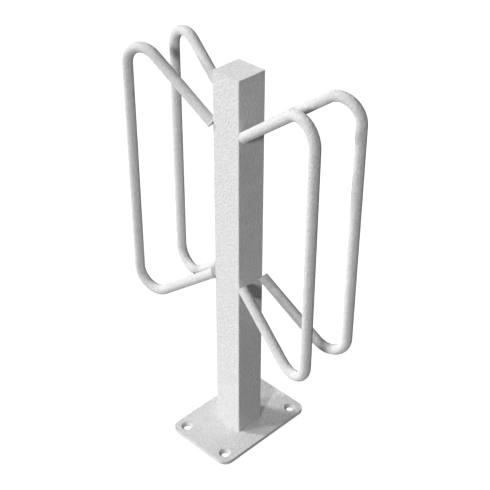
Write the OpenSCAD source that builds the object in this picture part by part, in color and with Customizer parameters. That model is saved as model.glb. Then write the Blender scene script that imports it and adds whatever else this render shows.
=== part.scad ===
// Bike parking stand: a square post on a bolted base plate, with two splayed bar hoops on each side.
// A front wheel goes between the two hoops of a pair, and a lock goes round a hoop.
// Millimetres, +Z up. The origin is the middle of the base plate's underside.
// +X points from the post to the right-hand hoops and +Y to the rear hoops.

/* [Post] */
// Width of the square post across its flats
post_w = 80; // [60:1:110]
// Wall thickness of the post
post_wall = 3; // [2.5:0.5:6]
// Outside radius of the post's upright edges
post_edge_r = 2; // [1:0.5:4]
// Inside radius of the post's upright edges
bore_edge_r = 1.5; // [0.5:0.5:3]
// Height of the post's flat top above the ground
post_top = 1000; // [930:5:1200]

/* [Cap] */
// Thickness of the plate that closes the post
cap_t = 4; // [3:0.5:8]
// Step left round the closing plate for its weld
cap_step = 1.5; // [1:0.25:2]

/* [Base plate] */
// Size of the base plate from left to right
plate_x = 200; // [170:5:300]
// Size of the base plate from front to rear
plate_y = 300; // [220:5:400]
// Thickness of the base plate
plate_t = 10; // [8:1:20]
// Radius of the base plate's corners
plate_corner_r = 25; // [5:1:40]
// Distance from each plate edge to the middle of an anchor hole
hole_inset = 30; // [24:1:36]
// Diameter of the anchor holes
hole_d = 18; // [12:1:20]
// Diameter of the countersinks at the plate's top
countersink_d = 30; // [22:1:32]
// Full angle of the countersinks
countersink_angle = 90; // [80:5:120]
// Diameter of the drain hole under the post
drain_d = 40; // [20:1:50]

/* [Hoops] */
// Diameter of the round bar
bar_d = 25; // [18:1:32]
// Radius of the bends, to the middle of the bar
bend_r = 51; // [40:1:75]
// Slope of the arms above and below the horizontal
arm_angle = 37; // [25:1:48]
// Angle by which each hoop turns out from the left to right line
splay_angle = 9; // [3:1:14]
// Distance from the post to the middle of the upright run, along the hoop
hoop_reach = 245.5; // [200:0.5:320]
// Distance between a hoop's two seats, up the post
seat_pitch = 390; // [300:1:480]
// Distance from the post's top down to the hoops' middle
hoop_drop = 332; // [290:1:420]
// Distance from the post's front or rear side to the middle of a bar
seat_inset = 7; // [4:0.5:12]
// Depth to which the tip of each bar is ground flat on the post
seat_bite = 1; // [0.5:0.1:1.5]

/* [Welds] */
// Leg of the weld round the foot of the post
foot_weld_leg = 3; // [2:0.5:6]
// Radius of the weld beads round the bars' tips
seat_bead_r = 3; // [2.5:0.25:4]
// Angle round the bar that each of those beads covers
seat_bead_wrap = 110; // [100:5:130]

/* [Hidden] */
$fn = 64;

// Colours of the galvanised steel as the photo shows it
plate_grey = [0.78, 0.78, 0.77];
post_grey = [0.84, 0.84, 0.83];
bar_grey = [0.88, 0.88, 0.87];
bead_grey = [0.74, 0.74, 0.73];

// Cutting tools run past the faces that they cut by this much
past = 1;

// Post: the tube stands on the plate and the cap closes it at the stated height
half_post = post_w / 2;
cap_z = post_top - cap_t;
tube_len = cap_z - plate_t;

// Countersinks: depth of the cone between the two diameters
countersink_depth = (countersink_d - hole_d) / 2 / tan(countersink_angle / 2);

// Hoop in its own upright plane: u runs out from the post's face, z up from the hoop's middle
hoop_mid_z = post_top - hoop_drop;
bar_r = bar_d / 2;
turn_angle = 90 + arm_angle;
corner_z = seat_pitch / 2 + hoop_reach * tan(arm_angle);
tangent_len = bend_r * tan(turn_angle / 2);
bend_u = hoop_reach - bend_r;
bend_z = corner_z - tangent_len;

// Square-cut bar end: its middle stands off the face so that only the tip reaches the post
axis_to_face = cos(arm_angle) * cos(splay_angle);
end_lean = sqrt(1 - axis_to_face * axis_to_face);
end_offset = (bar_r * end_lean - seat_bite) / axis_to_face;
arm_len = hoop_reach / cos(arm_angle) - tangent_len - end_offset;

// Direction of the tip round the bar's end, seen along the bar from the post
tip_angle = atan2(sin(splay_angle), -sin(arm_angle) * cos(splay_angle));

// Height of the block that stands for everything behind the post's face
face_block_h = 2 * (corner_z + bar_d);

// Upright block with rounded corners, standing on z = 0
module rounded_block(size_x, size_y, height, r) {
    translate([-size_x / 2 + r, -size_y / 2, 0])
        cube([size_x - 2 * r, size_y, height]);
    translate([-size_x / 2, -size_y / 2 + r, 0])
        cube([size_x, size_y - 2 * r, height]);
    for (side_x = [-1, 1], side_y = [-1, 1])
        translate([side_x * (size_x / 2 - r), side_y * (size_y / 2 - r), 0])
            cylinder(h = height, r = r);
}

// Countersunk through hole in the base plate
module anchor_hole() {
    translate([0, 0, -past])
        cylinder(h = plate_t + 2 * past, d = hole_d);
    translate([0, 0, plate_t - countersink_depth])
        cylinder(
            h = countersink_depth + past,
            d1 = hole_d,
            d2 = countersink_d + 2 * past * tan(countersink_angle / 2)
        );
}

module base_plate() {
    color(plate_grey)
        difference() {
            rounded_block(plate_x, plate_y, plate_t, plate_corner_r);
            for (side_x = [-1, 1], side_y = [-1, 1])
                translate([
                    side_x * (plate_x / 2 - hole_inset),
                    side_y * (plate_y / 2 - hole_inset),
                    0
                ])
                    anchor_hole();
            translate([0, 0, -past])
                cylinder(h = plate_t + 2 * past, d = drain_d);
        }
}

// Section of the foot weld: legs along the plate and the post, with a slightly bowed face
module foot_weld_section() {
    intersection() {
        square(foot_weld_leg);
        translate([-foot_weld_leg, -foot_weld_leg])
            circle(r = foot_weld_leg * sqrt(5));
    }
}

module foot_weld() {
    edge_place = half_post - post_edge_r;
    color(bead_grey)
        translate([0, 0, plate_t])
            for (quarter = [0:3])
                rotate(90 * quarter) {
                    translate([half_post, edge_place, 0])
                        rotate([90, 0, 0])
                            linear_extrude(height = 2 * edge_place)
                                foot_weld_section();
                    translate([edge_place, edge_place, 0])
                        rotate_extrude(angle = 90)
                            translate([post_edge_r, 0])
                                foot_weld_section();
                }
}

module post_tube() {
    bore_w = post_w - 2 * post_wall;
    color(post_grey)
        translate([0, 0, plate_t])
            difference() {
                rounded_block(post_w, post_w, tube_len, post_edge_r);
                translate([0, 0, -past])
                    rounded_block(bore_w, bore_w, tube_len + 2 * past, bore_edge_r);
            }
}

// Square plate lying on the tube's end, smaller all round by the step for its weld
module cap_block(height) {
    cap_w = post_w - 2 * cap_step;
    translate([-cap_w / 2, -cap_w / 2, 0])
        cube([cap_w, cap_w, height]);
}

module cap_plate() {
    color(post_grey)
        translate([0, 0, cap_z])
            cap_block(cap_t);
}

// Weld metal in the step round the cap, ground flush with the post's sides and top
module cap_weld() {
    color(post_grey)
        translate([0, 0, cap_z])
            difference() {
                rounded_block(post_w, post_w, cap_t, post_edge_r);
                translate([0, 0, -past])
                    cap_block(cap_t + 2 * past);
            }
}

// One arm with its bend, in the upper half of the hoop's own plane
module arm_and_bend() {
    translate([bend_u, 0, bend_z]) {
        rotate([90, 0, 0])
            rotate_extrude(angle = turn_angle)
                translate([bend_r, 0])
                    circle(r = bar_r);
        rotate([0, -turn_angle, 0])
            translate([bend_r, 0, 0])
                cylinder(h = arm_len, r = bar_r);
    }
}

// Whole bar as bent and cut, before its tips are ground: two arms, two bends, one upright run
module bent_bar() {
    arm_and_bend();
    mirror([0, 0, 1])
        arm_and_bend();
    translate([hoop_reach, 0, -bend_z])
        cylinder(h = 2 * bend_z, r = bar_r);
}

// Moves what is drawn in the hoop's own plane to the rear right-hand hoop
module at_hoop() {
    translate([half_post, half_post - seat_inset, hoop_mid_z])
        rotate(splay_angle)
            children();
}

// Block that fills everything on the post's side of its right-hand face
module behind_face() {
    translate([-half_post, -post_w, hoop_mid_z - face_block_h / 2])
        cube([post_w, 2 * post_w, face_block_h]);
}

module rear_right_bar() {
    difference() {
        at_hoop()
            bent_bar();
        behind_face();
    }
}

// Bead round the tip of the upper arm: it fills the notch on both sides of the bar's edge
module upper_bead() {
    flat_half = half_post - post_edge_r;
    difference() {
        intersection() {
            at_hoop()
                translate([
                    end_offset * cos(arm_angle),
                    0,
                    seat_pitch / 2 + end_offset * sin(arm_angle)
                ])
                    rotate([0, 90 - arm_angle, 0])
                        rotate(tip_angle - seat_bead_wrap / 2)
                            rotate_extrude(angle = seat_bead_wrap)
                                translate([bar_r, 0])
                                    circle(r = seat_bead_r);
            translate([half_post, -flat_half, 0])
                cube([post_w, 2 * flat_half, post_top]);
        }
        rear_right_bar();
    }
}

// Bead of the lower arm: the upper one mirrored about the hoop's middle height
module lower_bead() {
    translate([0, 0, 2 * hoop_mid_z])
        mirror([0, 0, 1])
            upper_bead();
}

// Puts what is drawn at the rear right on another side of the post
module on_side(front = false, left = false) {
    mirror([left ? 1 : 0, 0, 0])
        mirror([0, front ? 1 : 0, 0])
            children();
}

module front_right_hoop() { color(bar_grey) on_side(front = true) rear_right_bar(); }
module rear_right_hoop() { color(bar_grey) rear_right_bar(); }
module front_left_hoop() { color(bar_grey) on_side(front = true, left = true) rear_right_bar(); }
module rear_left_hoop() { color(bar_grey) on_side(left = true) rear_right_bar(); }

module front_right_upper_weld() { color(bead_grey) on_side(front = true) upper_bead(); }
module front_right_lower_weld() { color(bead_grey) on_side(front = true) lower_bead(); }
module rear_right_upper_weld() { color(bead_grey) upper_bead(); }
module rear_right_lower_weld() { color(bead_grey) lower_bead(); }
module front_left_upper_weld() { color(bead_grey) on_side(front = true, left = true) upper_bead(); }
module front_left_lower_weld() { color(bead_grey) on_side(front = true, left = true) lower_bead(); }
module rear_left_upper_weld() { color(bead_grey) on_side(left = true) upper_bead(); }
module rear_left_lower_weld() { color(bead_grey) on_side(left = true) lower_bead(); }

base_plate();
foot_weld();
post_tube();
cap_plate();
cap_weld();
front_right_hoop();
rear_right_hoop();
front_left_hoop();
rear_left_hoop();
front_right_upper_weld();
front_right_lower_weld();
rear_right_upper_weld();
rear_right_lower_weld();
front_left_upper_weld();
front_left_lower_weld();
rear_left_upper_weld();
rear_left_lower_weld();
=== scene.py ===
import math

import bmesh
import bpy
from mathutils import Matrix, Vector


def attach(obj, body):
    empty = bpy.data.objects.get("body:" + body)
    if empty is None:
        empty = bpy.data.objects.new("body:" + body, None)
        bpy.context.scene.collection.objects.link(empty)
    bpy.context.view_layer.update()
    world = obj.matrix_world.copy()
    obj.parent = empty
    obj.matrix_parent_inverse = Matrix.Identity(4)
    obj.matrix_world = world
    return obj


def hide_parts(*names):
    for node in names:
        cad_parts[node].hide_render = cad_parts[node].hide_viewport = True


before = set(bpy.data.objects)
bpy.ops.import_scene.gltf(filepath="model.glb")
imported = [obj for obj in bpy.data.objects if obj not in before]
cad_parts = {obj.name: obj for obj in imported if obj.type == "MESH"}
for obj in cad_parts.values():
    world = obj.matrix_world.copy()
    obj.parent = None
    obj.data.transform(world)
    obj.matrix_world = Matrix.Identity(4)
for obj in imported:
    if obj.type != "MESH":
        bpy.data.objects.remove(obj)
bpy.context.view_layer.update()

# Base plate
# A steel plate cut to 200 x 300 x 10 mm, drilled and countersunk for four anchors, with a drain
# hole under the post. Dipping it in zinc leaves its edges slightly round and its faces mottled.
plate_half = (0.100, 0.150)
plate_thickness = 0.010
plate_corner = 0.025
plate_edge_round = 0.0008
anchor_inset = 0.030
anchor_radius = 0.009
countersink_radius = 0.015
drain_radius = 0.020
hole_edge_round = 0.0004
hole_points = 64


def arc_points(centre, radius, start, end, count):
    """Points on an arc in the level plane, from start to end in degrees, both ends included."""
    step = math.radians(end - start) / (count - 1)
    first = math.radians(start)
    return [
        Vector((
            centre[0] + radius * math.cos(first + step * i),
            centre[1] + radius * math.sin(first + step * i),
            0,
        ))
        for i in range(count)
    ]


def rounded_outline(half_x, half_y, corner, per_corner=10):
    """Outline of a rectangle with round corners, counter-clockwise, in the level plane."""
    points = []
    for quarter, (side_x, side_y) in enumerate(((1, 1), (-1, 1), (-1, -1), (1, -1))):
        middle = (side_x * (half_x - corner), side_y * (half_y - corner))
        points += arc_points(middle, corner, 90 * quarter, 90 * quarter + 90, per_corner)
    return points


def add_ring(bm, points, height=0.0):
    """Adds the points of one ring to the mesh, all raised by height."""
    return [bm.verts.new((p.x, p.y, p.z + height)) for p in points]


def join_rings(bm, rings, closed=False, material_index=0):
    """Joins each ring to the next with four-sided faces. In a closed row the last meets the first."""
    pairs = list(zip(rings, rings[1:]))
    if closed:
        pairs.append((rings[-1], rings[0]))
    for low, high in pairs:
        for i in range(len(low)):
            j = (i + 1) % len(low)
            face = bm.faces.new((low[i], low[j], high[j], high[i]))
            face.material_index = material_index


def edge_profile(edge_round, steps=3):
    """Inset and drop of a rounded edge, from the flat face out to the side."""
    quarter = math.pi / 2 / steps
    return [
        (edge_round * (1 - math.sin(quarter * i)), edge_round * (1 - math.cos(quarter * i)))
        for i in range(steps + 1)
    ]


def finished(name, bm, material, sharp_angle=40):
    """Turns the mesh into an object of the scene with smooth faces and crisp edges."""
    bmesh.ops.recalc_face_normals(bm, faces=bm.faces)
    mesh = bpy.data.meshes.new(name)
    bm.to_mesh(mesh)
    bm.free()
    mesh.polygons.foreach_set("use_smooth", [True] * len(mesh.polygons))
    mesh.set_sharp_from_angle(angle=math.radians(sharp_angle))
    mesh.materials.append(material)
    piece = bpy.data.objects.new(name, mesh)
    bpy.context.scene.collection.objects.link(piece)
    shading = piece.modifiers.new("even_shading", "WEIGHTED_NORMAL")
    shading.keep_sharp = True
    return piece


def value_node(tree, operation, *values, clamp=False):
    """A Math node whose inputs are set to the numbers or linked to the sockets, and its result."""
    node = tree.nodes.new("ShaderNodeMath")
    node.operation = operation
    node.use_clamp = clamp
    for socket, value in zip(node.inputs, values):
        if isinstance(value, (int, float)):
            socket.default_value = value
        else:
            tree.links.new(value, socket)
    return node.outputs[0]


def grey(level):
    """An even grey as a colour."""
    return (level, level, level, 1)


# Marks in the zinc: how many there are to a metre, how far the crystals' edges wander, what part of
# a noise stands out as drops, and how much each kind of mark lifts the surface.
patches_per_metre = 34
crystals_per_metre = 190
runs_per_metre = 200
drops_per_metre = 150
grain_per_metre = 950
noise_roughness = 0.55
wanders_per_metre = 260
crystal_wander = 0.004
drop_edge = 0.64
drop_top = 0.78
run_height = 0.75
patch_height = 0.15
grain_height = 0.05
drop_height = 0.30


def zinc_coat_group():
    """Hot-dip zinc: cloudy patches, crystals, runs along the piece, small drops and fine grain."""
    group = bpy.data.node_groups.new("zinc_coat", "ShaderNodeTree")
    for label, kind in (
        ("Place", "NodeSocketVector"),
        ("Along", "NodeSocketVector"),
        ("Bright Zinc", "NodeSocketColor"),
        ("Dull Zinc", "NodeSocketColor"),
        ("Patch Amount", "NodeSocketFloat"),
        ("Crystal Amount", "NodeSocketFloat"),
        ("Run Amount", "NodeSocketFloat"),
        ("Grain Amount", "NodeSocketFloat"),
        ("Smoothest", "NodeSocketFloat"),
        ("Roughest", "NodeSocketFloat"),
    ):
        group.interface.new_socket(label, in_out="INPUT", socket_type=kind)
    for label, kind in (
        ("Colour", "NodeSocketColor"),
        ("Roughness", "NodeSocketFloat"),
        ("Height", "NodeSocketFloat"),
    ):
        group.interface.new_socket(label, in_out="OUTPUT", socket_type=kind)
    inside = group.nodes.new("NodeGroupInput")
    outside = group.nodes.new("NodeGroupOutput")
    place = inside.outputs["Place"]

    def noise(vector, per_metre, detail):
        node = group.nodes.new("ShaderNodeTexNoise")
        node.inputs["Scale"].default_value = per_metre
        node.inputs["Detail"].default_value = detail
        node.inputs["Roughness"].default_value = noise_roughness
        group.links.new(vector, node.inputs["Vector"])
        return node

    patches = noise(place, patches_per_metre, detail=3).outputs["Fac"]
    runs = noise(inside.outputs["Along"], runs_per_metre, detail=2).outputs["Fac"]
    grain = noise(place, grain_per_metre, detail=2).outputs["Fac"]

    # Only the highest points of a noise stand out as drops.
    spots = noise(place, drops_per_metre, detail=1).outputs["Fac"]
    drops = group.nodes.new("ShaderNodeMapRange")
    drops.interpolation_type = "SMOOTHSTEP"
    drops.inputs["From Min"].default_value = drop_edge
    drops.inputs["From Max"].default_value = drop_top
    group.links.new(spots, drops.inputs["Value"])

    # The crystals' edges wander, so that they don't look cut with a knife.
    wander = noise(place, wanders_per_metre, detail=2).outputs["Color"]
    shifted = group.nodes.new("ShaderNodeVectorMath")
    shifted.operation = "MULTIPLY_ADD"
    shifted.inputs[1].default_value = (crystal_wander, crystal_wander, crystal_wander)
    group.links.new(wander, shifted.inputs[0])
    group.links.new(place, shifted.inputs[2])
    crystals = group.nodes.new("ShaderNodeTexVoronoi")
    crystals.inputs["Scale"].default_value = crystals_per_metre
    group.links.new(shifted.outputs[0], crystals.inputs["Vector"])
    crystal_tone = group.nodes.new("ShaderNodeSeparateColor")
    group.links.new(crystals.outputs["Color"], crystal_tone.inputs[0])

    # The tone runs from 0, dull and rough, to 1, bright and smooth, and each mark moves it.
    tone = None
    for source, label in (
        (patches, "Patch Amount"),
        (crystal_tone.outputs[0], "Crystal Amount"),
        (runs, "Run Amount"),
        (grain, "Grain Amount"),
    ):
        centred = value_node(group, "SUBTRACT", source, 0.5)
        part = value_node(group, "MULTIPLY", centred, inside.outputs[label])
        tone = part if tone is None else value_node(group, "ADD", tone, part)
    tone = value_node(group, "ADD", tone, 0.5, clamp=True)

    # Sockets 6 and 7 of a Mix node are its two colours, and its output 2 is the mixed colour.
    colour = group.nodes.new("ShaderNodeMix")
    colour.data_type = "RGBA"
    group.links.new(tone, colour.inputs["Factor"])
    group.links.new(inside.outputs["Dull Zinc"], colour.inputs[6])
    group.links.new(inside.outputs["Bright Zinc"], colour.inputs[7])
    group.links.new(colour.outputs[2], outside.inputs["Colour"])

    rough = group.nodes.new("ShaderNodeMapRange")
    group.links.new(tone, rough.inputs["Value"])
    group.links.new(inside.outputs["Roughest"], rough.inputs["To Min"])
    group.links.new(inside.outputs["Smoothest"], rough.inputs["To Max"])
    group.links.new(rough.outputs[0], outside.inputs["Roughness"])

    height = value_node(group, "MULTIPLY", runs, run_height)
    for source, lift in (
        (patches, patch_height),
        (grain, grain_height),
        (drops.outputs[0], drop_height),
    ):
        part = value_node(group, "MULTIPLY", source, lift)
        height = value_node(group, "ADD", height, part)
    group.links.new(height, outside.inputs["Height"])
    return group


zinc_coat = zinc_coat_group()
zinc_metallic = 0.03
zinc_gloss = 0.1


def zinc_material(
    name, bright, dull, amounts, roughness, relief, stretch=(1, 1, 1), matt=0.3, length_map=None
):
    """Zinc-coated steel. amounts are how much patches, crystals, runs and grain show, roughness is
    where it is smoothest and where roughest, and relief is the height of its marks in metres. The
    runs are drawn out by stretch, in the object's own directions or along its length map."""
    material = bpy.data.materials.new(name)
    material.use_nodes = True
    tree = material.node_tree
    surface = tree.nodes["Principled BSDF"]
    place = tree.nodes.new("ShaderNodeTexCoord")
    along = place.outputs["Object"]
    if length_map:
        lengthwise = tree.nodes.new("ShaderNodeUVMap")
        lengthwise.uv_map = length_map
        along = lengthwise.outputs["UV"]
    drawn = tree.nodes.new("ShaderNodeMapping")
    drawn.inputs["Scale"].default_value = stretch
    tree.links.new(along, drawn.inputs["Vector"])
    coat = tree.nodes.new("ShaderNodeGroup")
    coat.node_tree = zinc_coat
    coat.inputs["Bright Zinc"].default_value = grey(bright)
    coat.inputs["Dull Zinc"].default_value = grey(dull)
    for label, amount in zip(("Patch", "Crystal", "Run", "Grain"), amounts):
        coat.inputs[f"{label} Amount"].default_value = amount
    coat.inputs["Smoothest"].default_value = roughness[0]
    coat.inputs["Roughest"].default_value = roughness[1]
    tree.links.new(place.outputs["Object"], coat.inputs["Place"])
    tree.links.new(drawn.outputs["Vector"], coat.inputs["Along"])
    tree.links.new(coat.outputs["Colour"], surface.inputs["Base Color"])
    tree.links.new(coat.outputs["Roughness"], surface.inputs["Roughness"])
    surface.inputs["Metallic"].default_value = zinc_metallic
    surface.inputs["Specular IOR Level"].default_value = zinc_gloss
    surface.inputs["Diffuse Roughness"].default_value = matt
    bump = tree.nodes.new("ShaderNodeBump")
    bump.inputs["Strength"].default_value = 1.0
    bump.inputs["Distance"].default_value = relief
    tree.links.new(coat.outputs["Height"], bump.inputs["Height"])
    tree.links.new(bump.outputs["Normal"], surface.inputs["Normal"])
    return material


plate_zinc = zinc_material(
    "galvanised_plate",
    bright=0.86,
    dull=0.66,
    amounts=(0.4, 0.5, 0.6, 0.7),
    roughness=(0.5, 0.66),
    relief=0.0018,
)
# The walls of the holes get a darker zinc than the plate's faces: painted shade in the holes.
shaded_recess_zinc = zinc_material(
    "galvanised_recess_painted_shade",
    bright=0.70,
    dull=0.58,
    amounts=(0.5, 0.2, 0.20, 0.35),
    roughness=(0.55, 0.7),
    relief=0.0006,
)
shaded_recess_index = 1

bm = bmesh.new()
plate_profile = edge_profile(plate_edge_round)
plate_profile += [(inset, plate_thickness - drop) for inset, drop in reversed(plate_profile)]
outer_rings = []
for inset, height in plate_profile:
    outline = rounded_outline(plate_half[0] - inset, plate_half[1] - inset, plate_corner - inset)
    outer_rings.append(add_ring(bm, outline, height))
join_rings(bm, outer_rings)
bottom_edges = [outer_rings[0]]
top_edges = [outer_rings[-1]]

# Radius and height of each ring of a hole. Where the drilled wall turns into the cone, and the
# cone into the top face, the small rounds are given as steps from the sharp corner.
cone_start = plate_thickness - (countersink_radius - anchor_radius)
wall_round = ((0, -0.0003), (0.0002, 0.0002))
rim_round = ((-0.0005, -0.0005), (-0.0001, -0.0002), (0.0004, 0))
anchor_profile = [(anchor_radius + inset, drop) for inset, drop in edge_profile(hole_edge_round)]
anchor_profile += [(anchor_radius + wider, cone_start + higher) for wider, higher in wall_round]
anchor_profile += [
    (countersink_radius + wider, plate_thickness + higher) for wider, higher in rim_round
]
drain_profile = [(drain_radius + inset, drop) for inset, drop in edge_profile(hole_edge_round)]
drain_profile += [(r, plate_thickness - drop) for r, drop in reversed(drain_profile)]
holes = [((0, 0), drain_profile)]
for side_x in (-1, 1):
    for side_y in (-1, 1):
        middle = (side_x * (plate_half[0] - anchor_inset), side_y * (plate_half[1] - anchor_inset))
        holes.append((middle, anchor_profile))
last_point = 360 - 360 / hole_points
for middle, profile in holes:
    rings = [
        add_ring(bm, arc_points(middle, radius, 0, last_point, hole_points), height)
        for radius, height in profile
    ]
    join_rings(bm, rings, material_index=shaded_recess_index)
    bottom_edges.append(rings[0])
    top_edges.append(rings[-1])
for rings, normal in ((bottom_edges, (0, 0, -1)), (top_edges, (0, 0, 1))):
    rims = [
        bm.edges.get((ring[i], ring[(i + 1) % len(ring)]))
        for ring in rings
        for i in range(len(ring))
    ]
    bmesh.ops.triangle_fill(bm, use_beauty=True, edges=rims, normal=normal)
base_plate = finished("base_plate_steel", bm, plate_zinc)
base_plate.data.materials.append(shaded_recess_zinc)
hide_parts("base_plate")
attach(base_plate, "root")

# Post
# An 80 mm square tube with a 3 mm wall, cold-formed with small round edges, standing on the plate.
# The zinc ran down it as it was lifted from the bath, which leaves upright streaks.
post_half = 0.040
post_corner = 0.002
post_corner_points = 7
post_wall = 0.003
bore_corner = 0.0015
post_steps = 20
cap_seat = 0.996
# Painted shade: below this height the post's colour is darkened, down to this share at the plate.
foot_shade_top = 0.12
foot_shade_share = 0.80
foot_shade_power = 0.6

post_zinc = zinc_material(
    "galvanised_post",
    bright=0.87,
    dull=0.69,
    amounts=(0.4, 0.35, 1.0, 0.8),
    roughness=(0.5, 0.66),
    relief=0.0028,
    stretch=(1, 1, 0.7),
)


def shade_post_foot(material):
    """Paints shade into the zinc's colour towards the plate, to make up for the light that the plate
    throws back.
    """
    tree = material.node_tree
    colour = tree.nodes["Principled BSDF"].inputs["Base Color"]
    coat_colour = colour.links[0].from_socket
    place = tree.nodes.new("ShaderNodeTexCoord")
    level = tree.nodes.new("ShaderNodeSeparateXYZ")
    tree.links.new(place.outputs["Object"], level.inputs[0])
    fade = tree.nodes.new("ShaderNodeMapRange")
    fade.inputs["From Min"].default_value = plate_thickness
    fade.inputs["From Max"].default_value = foot_shade_top
    tree.links.new(level.outputs["Z"], fade.inputs["Value"])
    eased = value_node(tree, "POWER", fade.outputs[0], foot_shade_power)
    kept = value_node(tree, "MULTIPLY_ADD", eased, 1 - foot_shade_share, foot_shade_share)
    toned = tree.nodes.new("ShaderNodeVectorMath")
    toned.operation = "SCALE"
    tree.links.new(coat_colour, toned.inputs[0])
    tree.links.new(kept, toned.inputs["Scale"])
    tree.links.new(toned.outputs[0], colour)


# Painted shade at the foot of the post.
shade_post_foot(post_zinc)

bm = bmesh.new()
post_outline = rounded_outline(post_half, post_half, post_corner, post_corner_points)
bore_half = post_half - post_wall
bore_outline = rounded_outline(bore_half, bore_half, bore_corner, post_corner_points)
heights = [
    plate_thickness + (cap_seat - plate_thickness) * i / post_steps
    for i in range(post_steps + 1)
]
rings = [add_ring(bm, post_outline, z) for z in heights]
rings += [add_ring(bm, bore_outline, z) for z in reversed(heights)]
join_rings(bm, rings, closed=True)
post_tube = finished("post_square_tube", bm, post_zinc)
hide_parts("post_tube")
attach(post_tube, "root")

# Foot weld
# One pass of weld metal all round the foot of the post, laid by hand, so it has fine ripples.
# It joins the post to the plate and went through the zinc bath with them.
foot_leg = 0.0030
foot_bow = 0.10
foot_ripple = 0.00016
foot_ripple_pitch = 0.0021
foot_ripple_lag = 0.0009
foot_sway = 0.03
foot_sway_lengths = (0.047, 0.0193)
foot_face_steps = 8
foot_corner_steps = 6
stations_per_ripple = 5
weld_sharp_angle = 60

# The welds get a darker zinc than the post, plate and bars: partly the duller coat weld metal takes,
# partly painted shade in the creases where they lie.
weld_zinc_and_shade = zinc_material(
    "galvanised_weld_and_shade",
    bright=0.64,
    dull=0.54,
    amounts=(0.35, 0.2, 0.1, 0.45),
    roughness=(0.5, 0.68),
    relief=0.0003,
)


def walk_round_square(half, corner, step):
    """Stations round a square with round corners: place, outward direction and distance walked."""
    stations = []
    walked = 0.0
    flat = 2 * (half - corner)
    count = math.ceil(flat / step)
    corner_middle = Vector((half - corner, half - corner, 0))
    for quarter in range(4):
        turned = Matrix.Rotation(math.pi / 2 * quarter, 3, "Z")
        for i in range(count):
            place = Vector((half, -half + corner + flat * i / count, 0))
            stations.append((turned @ place, turned @ Vector((1, 0, 0)), walked))
            walked += flat / count
        for i in range(foot_corner_steps):
            angle = math.pi / 2 * i / foot_corner_steps
            out = Vector((math.cos(angle), math.sin(angle), 0))
            stations.append((turned @ (corner_middle + out * corner), turned @ out, walked))
            walked += corner * math.pi / (2 * foot_corner_steps)
    return stations


bm = bmesh.new()
rings = []
station_step = foot_ripple_pitch / stations_per_ripple
for place, out, walked in walk_round_square(post_half, post_corner, station_step):
    sway = sum(math.sin(2 * math.pi * walked / length) for length in foot_sway_lengths)
    ring = [place]
    for i in range(foot_face_steps + 1):
        angle = math.pi / 2 * i / foot_face_steps
        lag = foot_ripple_lag * math.sin(2 * angle)
        wave = math.sin(2 * math.pi * (walked + lag) / foot_ripple_pitch)
        leg = foot_leg * (1 + foot_sway * sway) + foot_ripple * wave * math.sin(2 * angle)
        bow = 1 / (math.cos(angle) + math.sin(angle)) + foot_bow * math.sin(2 * angle)
        outward = out * leg * bow * math.cos(angle)
        upward = Vector((0, 0, leg * bow * math.sin(angle)))
        ring.append(place + outward + upward)
    rings.append(add_ring(bm, ring, plate_thickness))
join_rings(bm, rings, closed=True)
foot_weld = finished("foot_weld_bead", bm, weld_zinc_and_shade, weld_sharp_angle)
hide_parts("foot_weld")
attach(foot_weld, "root")

# Cap
# A 4 mm plate lies on the tube's end, a little smaller than it, and the step round it is filled
# with weld and ground flush. After dipping, only a faint line tells the weld from the plate.
cap_top = 1.000
cap_half = 0.0385
cap_corner = 0.0002
cap_corner_points = 3
cap_face_rings = 4
cap_face_step = 0.009
cap_edge_round = 0.0005

cap_zinc = zinc_material(
    "galvanised_cap",
    bright=0.86,
    dull=0.68,
    amounts=(0.4, 0.4, 0.7, 0.6),
    roughness=(0.55, 0.7),
    relief=0.0013,
    stretch=(0.8, 0.8, 1),
)


def close_ends(bm, rings):
    """Closes a row of rings with a flat face at each end."""
    bm.faces.new(rings[0])
    bm.faces.new(rings[-1])


bm = bmesh.new()
crown = [(cap_half, cap_seat), (cap_half, cap_top)]
crown += [(cap_half - cap_face_step * i, cap_top) for i in range(1, cap_face_rings + 1)]
rings = [
    add_ring(bm, rounded_outline(half, half, cap_corner, cap_corner_points), height)
    for half, height in crown
]
join_rings(bm, rings)
close_ends(bm, rings)
cap_plate = finished("cap_plate_steel", bm, cap_zinc)
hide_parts("cap_plate")
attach(cap_plate, "root")

bm = bmesh.new()
cap_outline = rounded_outline(cap_half, cap_half, cap_corner, post_corner_points)
rings = [add_ring(bm, cap_outline, height) for height in (cap_top, cap_seat)]
rings.append(add_ring(bm, post_outline, cap_seat))
for inset, drop in reversed(edge_profile(cap_edge_round)):
    half = post_half - inset
    outline = rounded_outline(half, half, post_corner - inset, post_corner_points)
    rings.append(add_ring(bm, outline, cap_top - drop))
join_rings(bm, rings, closed=True)
cap_weld = finished("cap_weld_ground", bm, post_zinc)
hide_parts("cap_weld")
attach(cap_weld, "root")

# Hoops
# Four lengths of 25 mm round bar, each cut square, bent twice over a former and welded to a side
# of the post by the tips of its ends. Each pair opens outwards, so that a wheel finds its way in.
bar_radius = 0.0125
bend_radius = 0.051
arm_slope = math.radians(37)
splay = math.radians(9)
hoop_reach = 0.2455
seat_half_pitch = 0.195
hoop_middle = 0.668
seat_from_middle = 0.033
tip_bite = 0.001
saw_edge_round = 0.0006
saw_face_shares = (0.25, 0.6)
bend_flattening = 0.018
bend_widening = 0.006
bar_sides = 48
arm_steps = 12
bend_steps = 42
run_steps = 15
bar_length_map = "bar_length"

bar_zinc = zinc_material(
    "galvanised_bar",
    bright=0.83,
    dull=0.65,
    amounts=(0.4, 0.4, 0.8, 0.7),
    roughness=(0.58, 0.74),
    relief=0.0028,
    stretch=(1.1, 1.1, 1),
    matt=0.6,
    length_map=bar_length_map,
)

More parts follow.
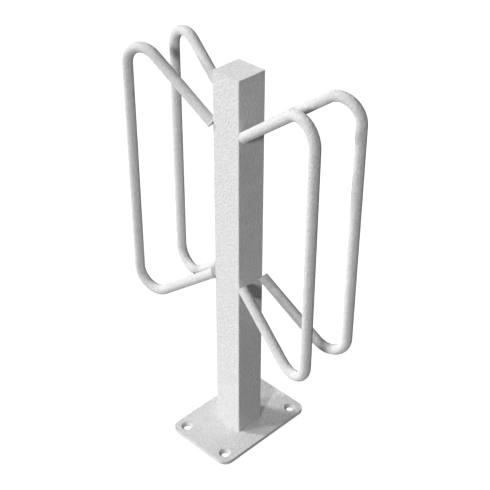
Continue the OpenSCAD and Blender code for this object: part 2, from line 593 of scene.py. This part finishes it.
bend_turn = math.pi / 2 + arm_slope
corner_height = seat_half_pitch + hoop_reach * math.tan(arm_slope)
tangent_length = bend_radius * math.tan(bend_turn / 2)
bend_reach = hoop_reach - bend_radius
bend_height = corner_height - tangent_length
to_face = math.cos(arm_slope) * math.cos(splay)
end_offset = (bar_radius * math.sqrt(1 - to_face ** 2) - tip_bite) / to_face
arm_length = hoop_reach / math.cos(arm_slope) - tangent_length
up = Vector((0, 0, 1))


def hoop_space(side_x, side_y):
    """A hoop's direction out from the post, and the point of the post that its plane starts at."""
    out = Vector((side_x * math.cos(splay), side_y * math.sin(splay), 0))
    origin = Vector((side_x * post_half, side_y * seat_from_middle, hoop_middle))
    return out, origin


def bar_stations():
    """The bar's middle line in its own plane: place, outer side, flattening and distance along."""
    slope = Vector((math.cos(arm_slope), math.sin(arm_slope)))
    outer = Vector((-math.sin(arm_slope), math.cos(arm_slope)))
    seat = Vector((0, seat_half_pitch))
    upper = []
    arm = arm_length - end_offset
    for i in range(arm_steps + 1):
        walked = arm * i / arm_steps
        upper.append((seat + slope * (end_offset + walked), outer, 0.0, walked))
    for i in range(1, bend_steps + 1):
        angle = bend_turn * (1 - i / bend_steps)
        outer = Vector((math.cos(angle), math.sin(angle)))
        place = Vector((bend_reach, bend_height)) + outer * bend_radius
        flat = math.sin(math.pi * i / bend_steps)
        upper.append((place, outer, flat, arm + bend_radius * bend_turn * i / bend_steps))
    half = arm + bend_radius * bend_turn + bend_height
    outer = Vector((1, 0))
    for i in range(1, run_steps):
        height = bend_height * (1 - i / run_steps)
        upper.append((Vector((hoop_reach, height)), outer, 0.0, half - height))
    middle = [(Vector((hoop_reach, 0)), outer, 0.0, half)]
    lower = [
        (Vector((p.x, -p.y)), Vector((o.x, -o.y)), flat, 2 * half - distance)
        for p, o, flat, distance in reversed(upper)
    ]
    return upper + middle + lower


def grind_to_post(bm, side_x):
    """Cuts off what would lie inside the post, and closes the cut."""
    whole = bm.verts[:] + bm.edges[:] + bm.faces[:]
    post_face = Vector((side_x * post_half, 0, 0))
    cut = bmesh.ops.bisect_plane(
        bm, geom=whole, plane_co=post_face, plane_no=(-side_x, 0, 0), clear_outer=True
    )
    cut_edges = [edge for edge in cut["geom_cut"] if isinstance(edge, bmesh.types.BMEdge)]
    bmesh.ops.contextual_create(bm, geom=cut_edges)


def bent_bar(side_x, side_y):
    """Mesh of one hoop: rings along the bar, rounded saw-cut ends, and tips ground to the post."""
    out, origin = hoop_space(side_x, side_y)
    across = out.cross(up)
    bm = bmesh.new()
    length_map = bm.loops.layers.uv.new(bar_length_map)
    bar_spots = {}

    def ring(place, outer, flat, distance, radius):
        points = []
        for i in range(bar_sides):
            angle = 2 * math.pi * i / bar_sides
            in_plane = radius * (1 - bend_flattening * flat) * math.cos(angle)
            sideways = radius * (1 + bend_widening * flat) * math.sin(angle)
            points.append(
                origin
                + out * (place.x + outer.x * in_plane)
                + up * (place.y + outer.y * in_plane)
                + across * sideways
            )
        verts = add_ring(bm, points)
        for i, vert in enumerate(verts):
            bar_spots[vert] = (distance, i)
        return verts

    saw_cut = [(bar_radius * share, 0) for share in saw_face_shares]
    saw_cut += [(bar_radius - inset, drop) for inset, drop in edge_profile(saw_edge_round)]
    stations = bar_stations()
    first_place, first_outer, _, _ = stations[0]
    last_place, last_outer, _, bar_length = stations[-1]
    along = Vector((math.cos(arm_slope), math.sin(arm_slope)))
    back = Vector((along.x, -along.y))
    rings = []
    for radius, drop in saw_cut:
        rings.append(ring(first_place + along * drop, first_outer, 0, drop, radius))
    for place, outer, flat, distance in stations[1:-1]:
        rings.append(ring(place, outer, flat, distance, bar_radius))
    for radius, drop in reversed(saw_cut):
        rings.append(ring(last_place + back * drop, last_outer, 0, bar_length - drop, radius))
    join_rings(bm, rings)
    close_ends(bm, rings)

    # The length map holds the distance along the bar and round it, without a jump at the seam.
    for face in bm.faces:
        sides = [bar_spots[loop.vert][1] for loop in face.loops]
        wraps = max(sides) - min(sides) > bar_sides / 2
        for loop in face.loops:
            distance, side = bar_spots[loop.vert]
            side += bar_sides if wraps and side < bar_sides / 2 else 0
            loop[length_map].uv = (distance, 2 * math.pi * bar_radius * side / bar_sides)
    grind_to_post(bm, side_x)
    return bm


hoop_sides = {
    "front_right": (1, -1),
    "rear_right": (1, 1),
    "front_left": (-1, -1),
    "rear_left": (-1, 1),
}
for where, (side_x, side_y) in hoop_sides.items():
    hoop = finished(f"{where}_bent_bar", bent_bar(side_x, side_y), bar_zinc)
    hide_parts(f"{where}_hoop")
    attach(hoop, "root")

# Seat welds
# Eight short beads, one in the notch on each side of a bar's tip where it meets the post.
# They are small and rippled, with the darker weld zinc: a duller coat and painted shade in the notch.
bead_radius = 0.0030
bead_half_wrap = math.radians(55)
bead_ripple = 0.03
bead_ripple_pitch = 0.0017
bead_ripple_lag = 0.0007
bead_taper_power = 0.4
bead_end_share = 0.004
bead_stations = 90
bead_sides = 16


def seat_bead(side_x, side_y, level):
    """Mesh of one bead round the tip of the upper arm, at level 1, or of the lower one, at -1."""
    out, origin = hoop_space(side_x, side_y)
    axis = out * math.cos(arm_slope) + up * level * math.sin(arm_slope)
    middle = origin + up * level * seat_half_pitch + axis * end_offset
    to_post = Vector((-side_x, 0, 0))
    tip = (to_post - axis * to_post.dot(axis)).normalized()
    beside = axis.cross(tip)
    bm = bmesh.new()
    rings = []
    for i in range(bead_stations + 1):
        share = i / bead_stations
        wrap = bead_half_wrap * (2 * share - 1)
        radial = tip * math.cos(wrap) + beside * math.sin(wrap)
        walked = bar_radius * wrap
        inner_share = min(max(share, bead_end_share), 1 - bead_end_share)
        taper = math.sin(math.pi * inner_share) ** bead_taper_power
        points = []
        for side in range(bead_sides):
            angle = 2 * math.pi * side / bead_sides
            lag = bead_ripple_lag * math.cos(angle)
            wave = math.sin(2 * math.pi * (walked + lag) / bead_ripple_pitch)
            radius = bead_radius * taper * (1 - bead_ripple + bead_ripple * wave)
            offset = radial * math.cos(angle) + axis * math.sin(angle)
            points.append(middle + radial * bar_radius + offset * radius)
        rings.append(add_ring(bm, points))
    join_rings(bm, rings)
    close_ends(bm, rings)
    grind_to_post(bm, side_x)
    return bm


for where, (side_x, side_y) in hoop_sides.items():
    for level, arm in ((1, "upper"), (-1, "lower")):
        bead_mesh = seat_bead(side_x, side_y, level)
        bead = finished(f"{where}_{arm}_bead", bead_mesh, weld_zinc_and_shade, weld_sharp_angle)
        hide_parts(f"{where}_{arm}_weld")
        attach(bead, "root")

# Studio floor
# A wide pale floor under the stand. The camera sees it white, and it keeps the stand's shadow.
# It throws back little light, so that the undersides stay shaded.
floor_half = 30.0
floor_bounce = 0.05
floor_glow = 0.95
shadow_share = 0.25


def background_rays(tree):
    """1 for a ray that shows the background: from the camera, mirrored or let through. Else 0."""
    path = tree.nodes.new("ShaderNodeLightPath")
    shows = path.outputs["Is Camera Ray"]
    for kind in ("Is Glossy Ray", "Is Transmission Ray"):
        shows = value_node(tree, "MAXIMUM", shows, path.outputs[kind])
    return shows


def show_as_background(tree, unseen, seen, output_kind):
    """Gives a tree the shader seen for background rays and the shader unseen for all others."""
    choice = tree.nodes.new("ShaderNodeMixShader")
    tree.links.new(background_rays(tree), choice.inputs["Fac"])
    tree.links.new(unseen.outputs[0], choice.inputs[1])
    tree.links.new(seen.outputs[0], choice.inputs[2])
    output = tree.nodes.new(output_kind)
    tree.links.new(choice.outputs[0], output.inputs["Surface"])


floor_mesh = bpy.data.meshes.new("studio_floor")
floor_corners = [
    (-floor_half, -floor_half, 0),
    (floor_half, -floor_half, 0),
    (floor_half, floor_half, 0),
    (-floor_half, floor_half, 0),
]
floor_mesh.from_pydata(floor_corners, [], [(0, 1, 2, 3)])
floor = bpy.data.objects.new("studio_floor", floor_mesh)
bpy.context.scene.collection.objects.link(floor)
floor_paper = bpy.data.materials.new("floor_paper")
floor_paper.use_nodes = True
tree = floor_paper.node_tree
tree.nodes.clear()
bounce = tree.nodes.new("ShaderNodeBsdfDiffuse")
bounce.inputs["Color"].default_value = grey(floor_bounce)
shaded = tree.nodes.new("ShaderNodeBsdfDiffuse")
shaded.inputs["Color"].default_value = grey(shadow_share)
white = tree.nodes.new("ShaderNodeEmission")
white.inputs["Strength"].default_value = floor_glow
shown_floor = tree.nodes.new("ShaderNodeAddShader")
tree.links.new(shaded.outputs[0], shown_floor.inputs[0])
tree.links.new(white.outputs[0], shown_floor.inputs[1])
show_as_background(tree, bounce, shown_floor, "ShaderNodeOutputMaterial")
floor_mesh.materials.append(floor_paper)

# Studio light
# Five soft lamps far off: the main one from the left, a weaker one between it and the camera, one
# near the camera that rakes the post's right side, and behind the stand a wide one high up and one
# low down that lights the bars' edges. The room itself gives very little light.
lamp_distance = 5
room_strength = 0.02

for name, azimuth, elevation, strength, softness in (
    ("main_lamp", -150, 31, 2.15, 10),
    ("middle_lamp", -122, 24, 1.26, 8),
    ("right_lamp", -67, 25, 1.38, 7),
    ("rear_softbox", 128, 45, 0.15, 100),
    ("back_lamp", 132, 3, 1.50, 24),
):
    lamp = bpy.data.lights.new(name, "SUN")
    lamp.energy = strength
    lamp.angle = math.radians(softness)
    holder = bpy.data.objects.new(name, lamp)
    bpy.context.scene.collection.objects.link(holder)
    towards = Vector((
        math.cos(math.radians(elevation)) * math.cos(math.radians(azimuth)),
        math.cos(math.radians(elevation)) * math.sin(math.radians(azimuth)),
        math.sin(math.radians(elevation)),
    ))
    holder.rotation_mode = "QUATERNION"
    holder.rotation_quaternion = towards.to_track_quat("Z", "Y")
    holder.location = towards * lamp_distance

room = bpy.data.worlds.new("studio_room")
bpy.context.scene.world = room
room.use_nodes = True
tree = room.node_tree
tree.nodes.clear()
fill = tree.nodes.new("ShaderNodeBackground")
fill.inputs["Strength"].default_value = room_strength
backdrop = tree.nodes.new("ShaderNodeBackground")
for light in (fill, backdrop):
    light.inputs["Color"].default_value = grey(1)
show_as_background(tree, fill, backdrop, "ShaderNodeOutputWorld")

# Camera
# It stands 2.7 m from the middle of the stand, above it and in front of its right side, as in the
# photograph. Its place, turn and lens were fitted to the stand's outlines.
camera_place = Vector((1.54181, -1.54489, 2.03293))
camera_yaw = 0.784760
camera_pitch = 0.615492
camera_roll = -0.000501
focal_pixels = 1125.038
optical_middle = (238.533, 266.884)
image_pixels = 490
sensor_width = 36.0
view_reach = 200

forward = Vector((
    -math.sin(camera_yaw) * math.cos(camera_pitch),
    math.cos(camera_yaw) * math.cos(camera_pitch),
    -math.sin(camera_pitch),
))
level_right = Vector((math.cos(camera_yaw), math.sin(camera_yaw), 0))
level_up = level_right.cross(forward)
right = level_right * math.cos(camera_roll) + level_up * math.sin(camera_roll)
upward = level_up * math.cos(camera_roll) - level_right * math.sin(camera_roll)
camera_data = bpy.data.cameras.new("photo_camera")
camera_data.sensor_width = sensor_width
camera_data.lens = focal_pixels / image_pixels * sensor_width
camera_data.shift_x = (image_pixels / 2 - optical_middle[0]) / image_pixels
camera_data.shift_y = (optical_middle[1] - image_pixels / 2) / image_pixels
camera_data.clip_end = view_reach
camera = bpy.data.objects.new("photo_camera", camera_data)
bpy.context.scene.collection.objects.link(camera)
facing = Matrix((right, upward, -forward)).transposed().to_4x4()
camera.matrix_world = Matrix.Translation(camera_place) @ facing
bpy.context.scene.camera = camera

# Colours
# Colours are shown as they are written.
bpy.context.scene.view_settings.view_transform = "Standard"
